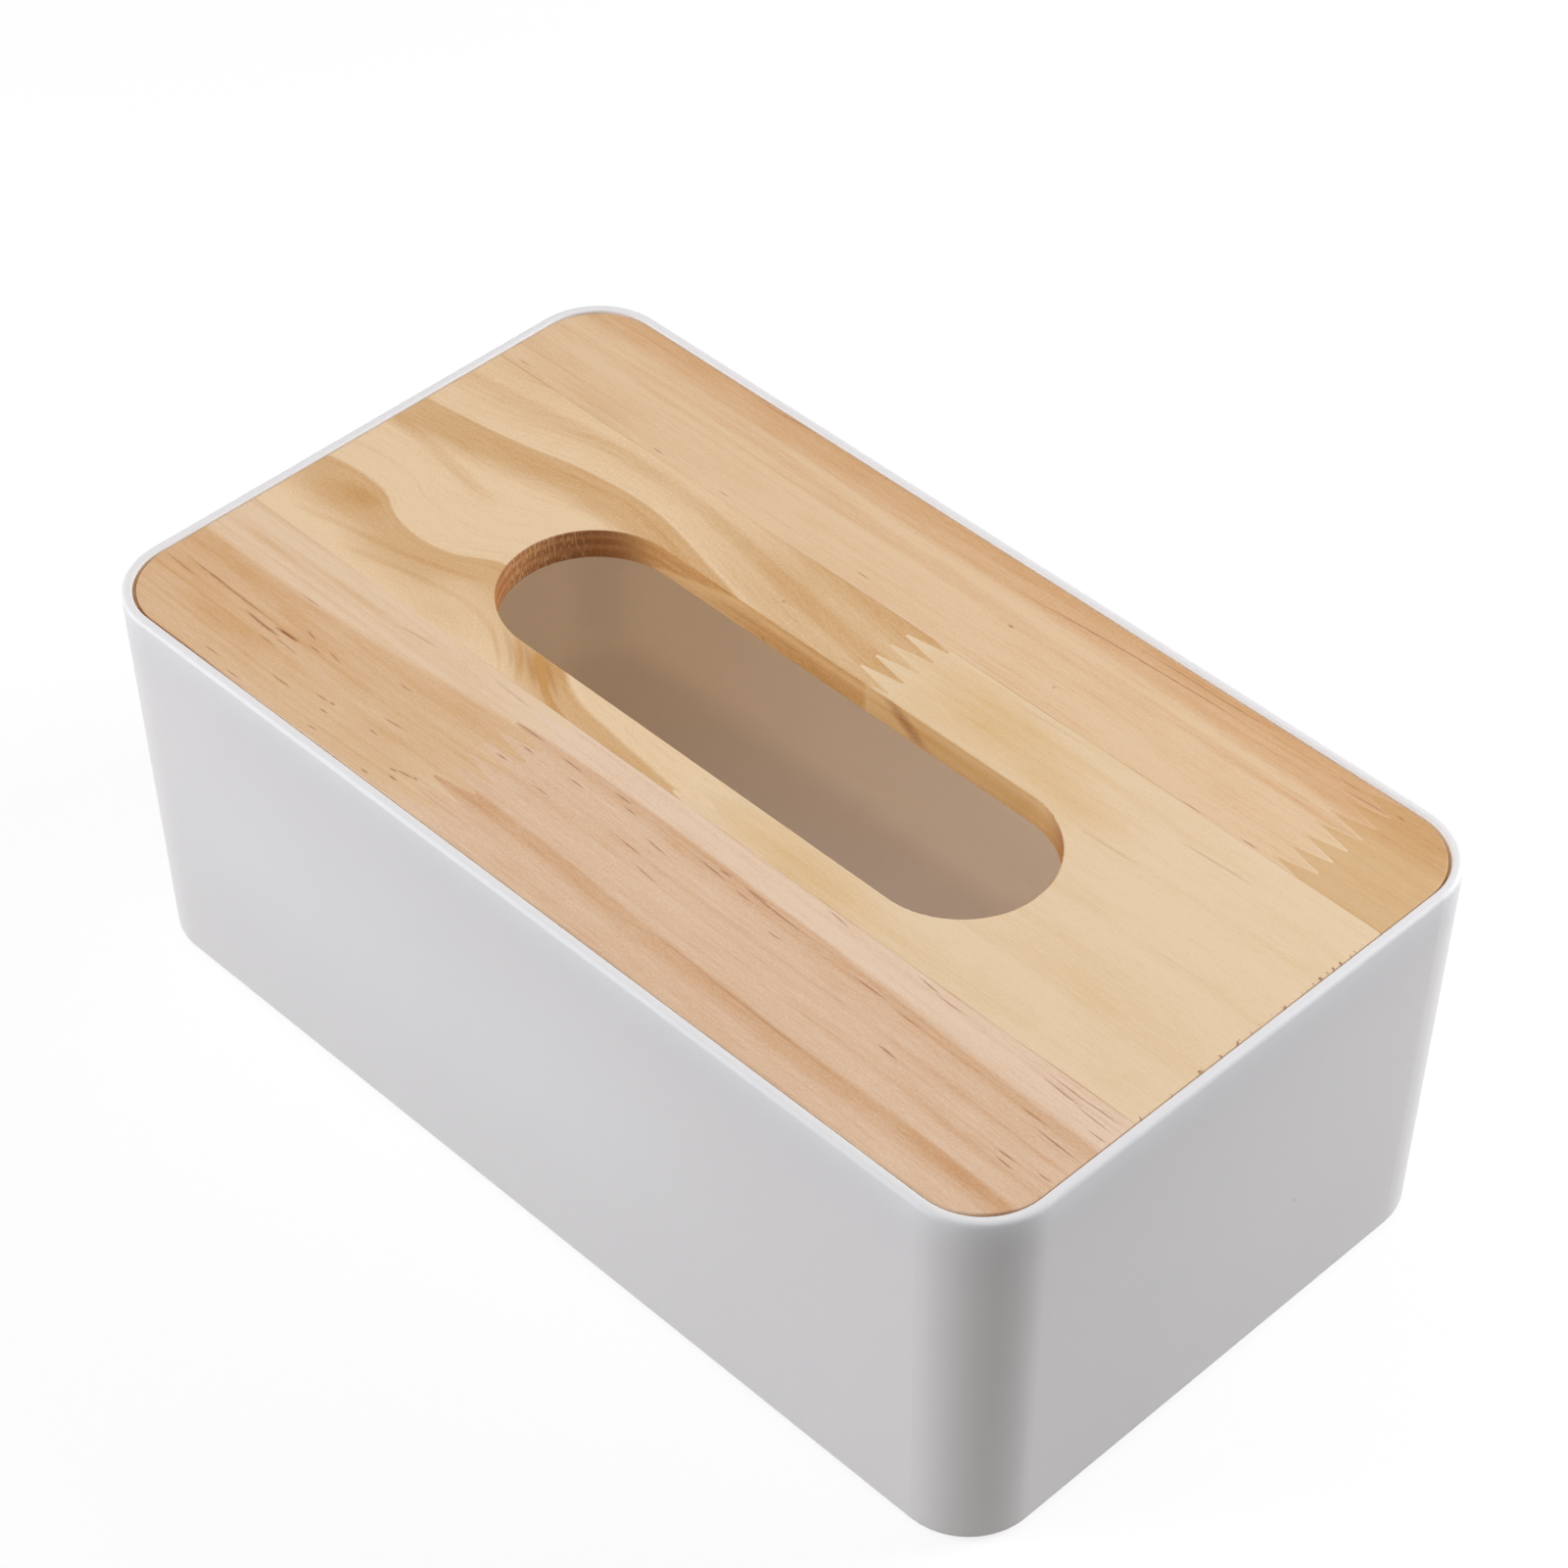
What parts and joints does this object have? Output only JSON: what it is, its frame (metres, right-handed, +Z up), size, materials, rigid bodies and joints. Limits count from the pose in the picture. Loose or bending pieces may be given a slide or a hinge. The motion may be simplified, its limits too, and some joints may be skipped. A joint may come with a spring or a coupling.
{
  "type": "tissue box",
  "caption": "Rounded box for a flat pack of tissues, moulded in white plastic with a floor, and a loose inset lid of finger-jointed pine boards with a long round-ended slot.",
  "frame": {"origin": "middle of the underside, on the surface that the box stands on", "axes": "+X along the long side, +Y across towards the back, +Z up"},
  "size_m": [0.24, 0.136, 0.09],
  "materials": {
    "box_plastic": "matte moulded white plastic",
    "pine_tan": "sanded bare pine",
    "pine_orange": "sanded bare pine",
    "pine_figured": "sanded bare pine",
    "pine_pale": "sanded bare pine",
    "pine_yellow": "sanded bare pine",
    "pine_pink": "sanded bare pine"
  },
  "bodies": {
    "box": {"box": "box_plastic"},
    "lid": {"back_left_board": "pine_tan", "back_right_board": "pine_orange", "centre_left_board": "pine_figured", "centre_right_board": "pine_pale", "front_left_board": "pine_yellow", "front_right_board": "pine_pink"}
  },
  "joints": [
    {"name": "lid_lift", "type": "slide", "parent": "box", "child": "lid", "axis": [0, 0, 1], "range_m": [0, 0.1]}
  ]
}
